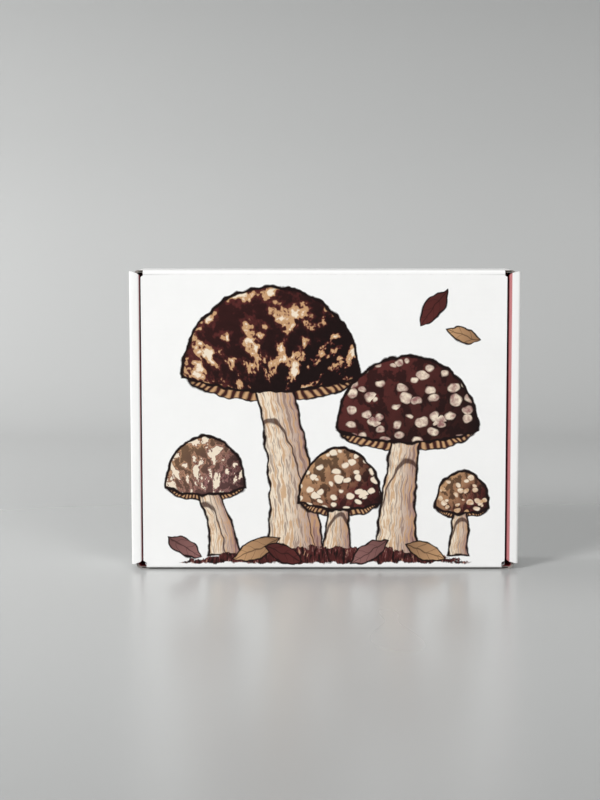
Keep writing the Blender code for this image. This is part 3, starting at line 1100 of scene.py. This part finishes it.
class PUZZLE_OT_stage(bpy.types.Operator):
    """Set up the ground, the soft studio light and the camera"""

    bl_idname = "puzzle.stage"
    bl_label = "Stage"

    def execute(self, context):
        scene = context.scene
        settings = scene.puzzle_stage
        self.ground(settings)
        self.lamps()
        self.world(scene)
        camera = bpy.data.cameras.new("picture_camera")
        camera.lens = settings.focus * camera.sensor_width / PICTURE_HEIGHT
        camera.shift_x = (PICTURE_WIDTH / 2 - settings.centre) / PICTURE_HEIGHT
        view = placed("picture_camera", camera)
        view.location = (0.0, LID_FACE - settings.distance, settings.height)
        view.rotation_euler = (math.radians(90.0 - settings.pitch), 0.0, 0.0)
        scene.camera = view
        scene.view_settings.view_transform = "Standard"
        return {"FINISHED"}

    @staticmethod
    def ground(settings):
        """A swept sheet: floor, a wide curve and a wall behind the box, with painted shade darkening the
        wall's top and the floor's front.
        """
        finish = Finish("stage_paper")
        x, y, z = finish.place()
        cloud = finish.noise(finish.vector(x, y, z), 0.002, 2.0)
        tone = settings.floor
        shade = finish.mix(cloud.ramp(0.3, 0.7), dimmed(tone, 0.97), tone)
        # Painted shade: the backdrop darkens towards its top
        high = z.ramp(120.0, 500.0)
        shade = finish.mix(high * high, shade, dimmed(tone, 0.78))
        # Painted shade: the floor darkens towards the camera
        near = y.ramp(0.0, -500.0)
        shade = finish.mix(near * near, shade, dimmed(tone, 0.77))
        far = y.ramp(150.0, 850.0)
        finish.surface(shade, cloud * 0.05 + far * far * 0.50 + 0.24)
        front, back, tall, curve, half = -2.6, 1.05, 2.6, 0.35, 3.0
        bend = [point for point, out in arc((back - curve, curve), curve, -90, 0, 16)]
        profile = [(front, 0.0), *bend, (back, tall)]
        points = [(x, y, z) for y, z in profile for x in (-half, half)]
        faces = [(2 * i, 2 * i + 1, 2 * i + 3, 2 * i + 2) for i in range(len(profile) - 1)]
        data = bpy.data.meshes.new("stage_sweep")
        data.from_pydata(points, [], faces)
        data.shade_smooth()
        data.materials.append(finish.material)
        sweep = placed("stage_sweep", data)

    @staticmethod
    def lamps():
        for name, place, aim, size, power in LAMPS:
            lamp = bpy.data.lights.new(name, "AREA")
            lamp.shape = "DISK"
            lamp.size = size
            lamp.energy = power
            obj = placed(name, lamp)
            obj.location = place
            obj.rotation_euler = (Vector(aim) - Vector(place)).to_track_quat("-Z", "Y").to_euler()
            # The glossy floor mirrors the box, and shows no bright patch from a lamp
            obj.visible_glossy = False

    @staticmethod
    def world(scene):
        world = bpy.data.worlds.new("studio")
        world.use_nodes = True
        light = world.node_tree.nodes["Background"]
        light.inputs["Color"].default_value = (1.0, 1.0, 1.0, 1.0)
        light.inputs["Strength"].default_value = WORLD_STRENGTH
        scene.world = world


STEPS = (
    PUZZLE_OT_base,
    PUZZLE_OT_end_walls,
    PUZZLE_OT_side_walls,
    PUZZLE_OT_lid,
    PUZZLE_OT_tuck,
    PUZZLE_OT_pieces,
    PUZZLE_OT_stage,
)
GROUPS = {
    "puzzle_board": BoardSettings,
    "puzzle_picture": PictureSettings,
    "puzzle_pieces": PuzzleSettings,
    "puzzle_stage": StageSettings,
}


class PUZZLE_PT_panel(bpy.types.Panel):
    """Lists the steps that build the puzzle box"""

    bl_idname = "PUZZLE_PT_panel"
    bl_label = "Puzzle Box"
    bl_space_type = "VIEW_3D"
    bl_region_type = "UI"
    bl_category = "Puzzle Box"

    def draw(self, context):
        for step in STEPS:
            self.layout.operator(step.bl_idname)


CLASSES = (*GROUPS.values(), *STEPS, PUZZLE_PT_panel)


def register():
    for cls in CLASSES:
        bpy.utils.register_class(cls)
    for name, group in GROUPS.items():
        setattr(bpy.types.Scene, name, bpy.props.PointerProperty(type=group))


def unregister():
    for name in GROUPS:
        delattr(bpy.types.Scene, name)
    for cls in reversed(CLASSES):
        bpy.utils.unregister_class(cls)


def main():
    register()
    for step in STEPS:
        group, name = step.bl_idname.split(".")
        if getattr(getattr(bpy.ops, group), name)() != {"FINISHED"}:
            raise RuntimeError(step.bl_label + " did not finish")


if __name__ == "__main__":
    main()
